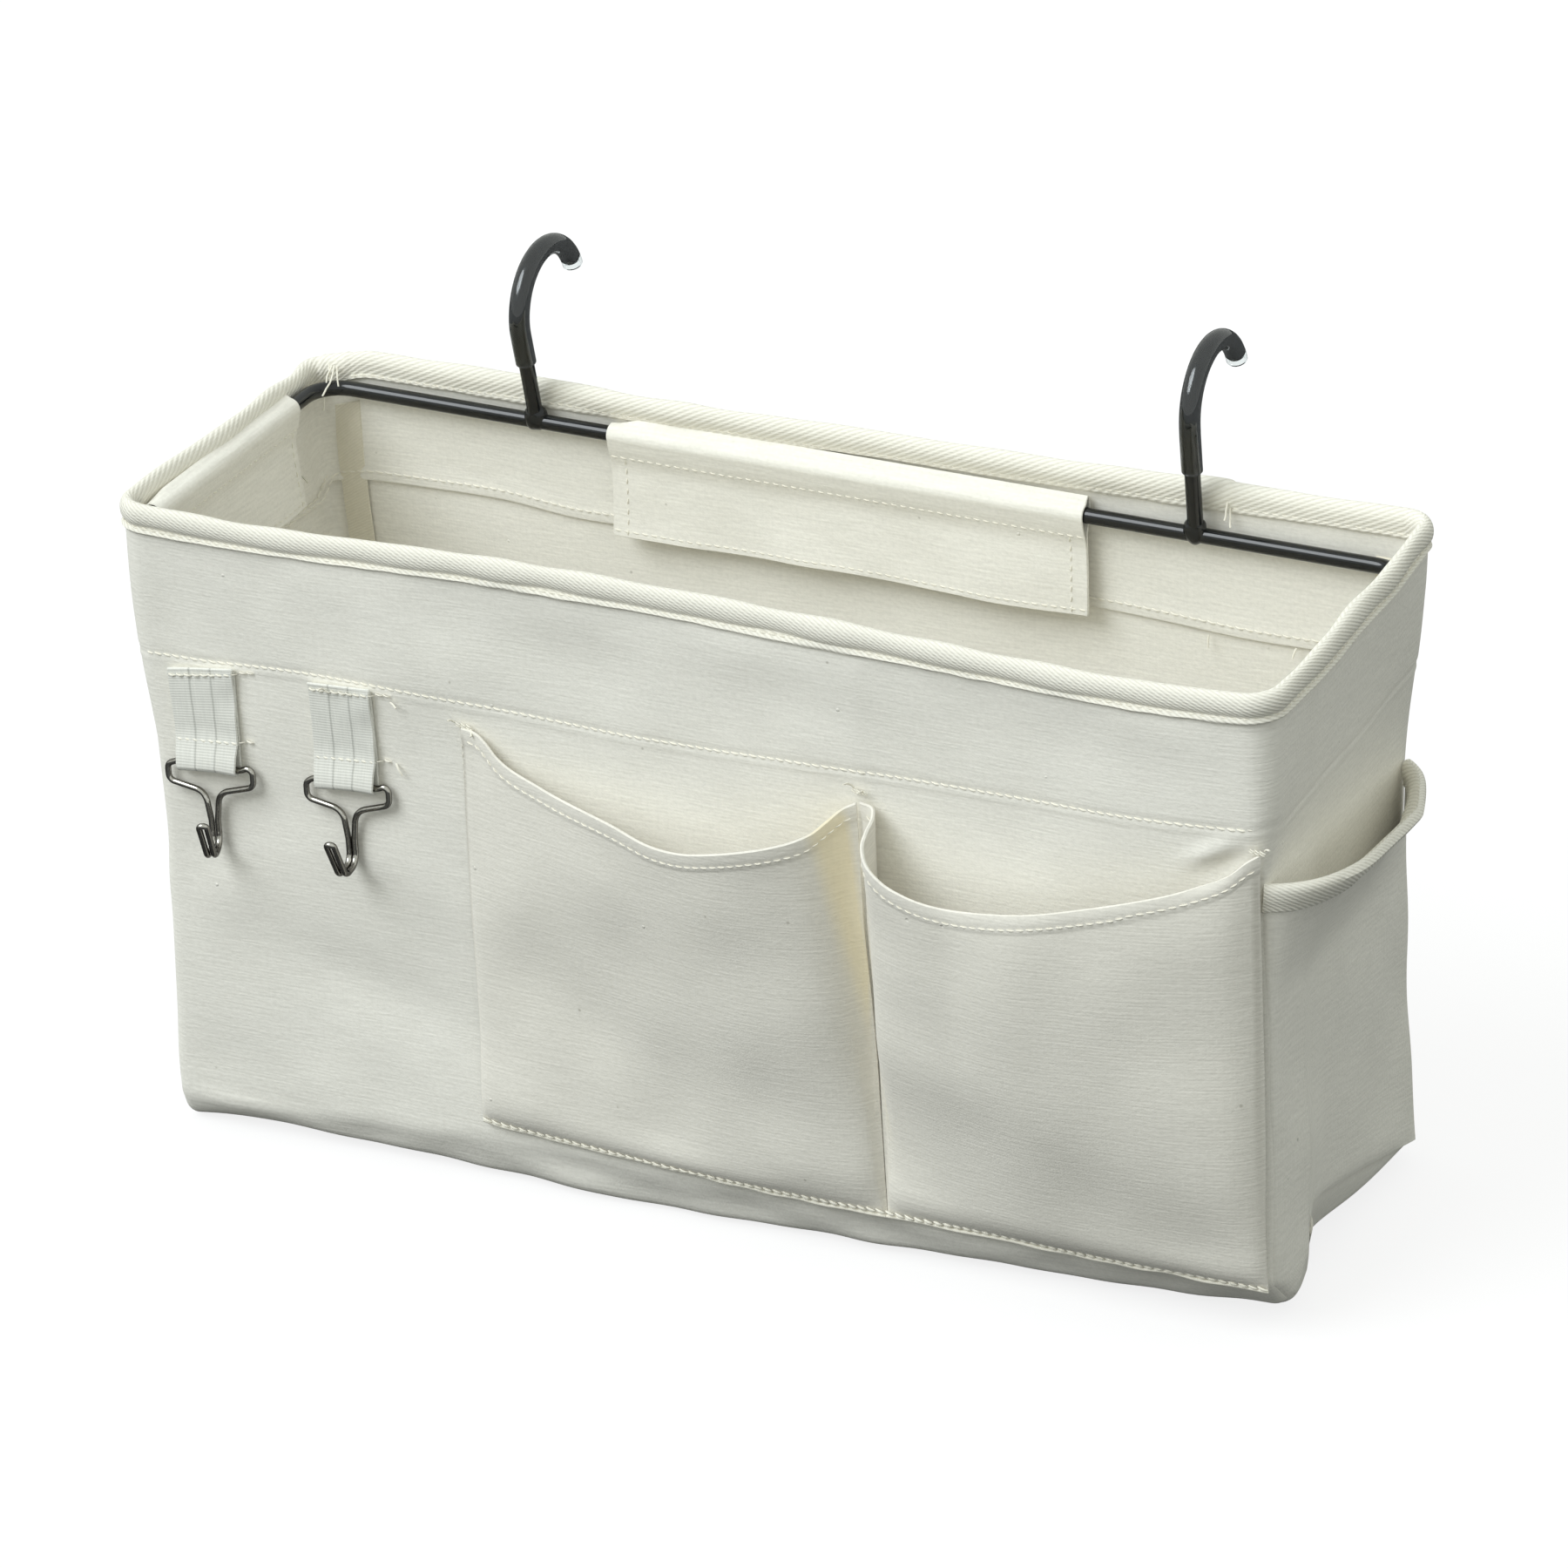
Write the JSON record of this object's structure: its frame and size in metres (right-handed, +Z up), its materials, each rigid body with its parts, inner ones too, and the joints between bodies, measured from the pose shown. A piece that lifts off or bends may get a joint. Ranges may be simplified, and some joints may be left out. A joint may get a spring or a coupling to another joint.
{
  "type": "hanging storage bag",
  "caption": "Open-topped canvas storage bag on a steel rim frame that hangs from a rail by hooks, with front pockets, a side pocket and swinging wire hooks.",
  "frame": {"origin": "middle of the underside of the base", "axes": "+X along the bag to the right as seen from the pocket side, +Y from the pocket side to the rail side, +Z up"},
  "size_m": [0.4016, 0.1756, 0.2589],
  "materials": {
    "canvas": "off-white plain-weave cotton canvas with slubs, matte",
    "facing_cloth": "the same off-white canvas, seen inside the rim, matte",
    "twill_tape": "cream twill tape with slanting ribs, matte",
    "webbing": "white flat webbing, slightly satin",
    "coated_steel": "gloss black coating over steel rod",
    "clear_tube": "clear soft plastic, glossy",
    "nickel_wire": "bright nickel-plated steel wire"
  },
  "bodies": {
    "bag": {"front_panel": "canvas", "rear_panel": "canvas", "left_side_panel": "canvas", "right_side_panel": "canvas", "front_facing": "facing_cloth", "right_facing": "facing_cloth", "rear_facing": "facing_cloth", "left_facing": "facing_cloth", "base_panel": "canvas", "front_left_seam_tape": "twill_tape", "front_right_seam_tape": "twill_tape", "rear_left_seam_tape": "twill_tape", "rear_right_seam_tape": "twill_tape", "rim_binding": "twill_tape", "frame_ring": "coated_steel", "front_frame_sleeve": "canvas", "right_frame_sleeve": "canvas", "rear_frame_sleeve": "canvas", "left_frame_sleeve": "canvas", "left_hanger_hook": "coated_steel", "left_hanger_tube": "clear_tube", "right_hanger_hook": "coated_steel", "right_hanger_tube": "clear_tube", "front_left_pocket": "canvas", "front_right_pocket": "canvas", "side_pocket": "canvas", "side_pocket_binding": "twill_tape", "left_hook_strap": "webbing", "right_hook_strap": "webbing"},
    "left_wire_hook": {"left_wire_hook": "nickel_wire"},
    "right_wire_hook": {"right_wire_hook": "nickel_wire"}
  },
  "joints": [
    {"name": "left_hook_swing", "type": "hinge", "parent": "bag", "child": "left_wire_hook", "pos_m": [-0.16477, -0.06465, 0.126], "axis": [-1, 0, 0], "range_deg": [0, 120]},
    {"name": "right_hook_swing", "type": "hinge", "parent": "bag", "child": "right_wire_hook", "pos_m": [-0.11577, -0.06465, 0.1284], "axis": [-1, 0, 0], "range_deg": [0, 120]}
  ]
}
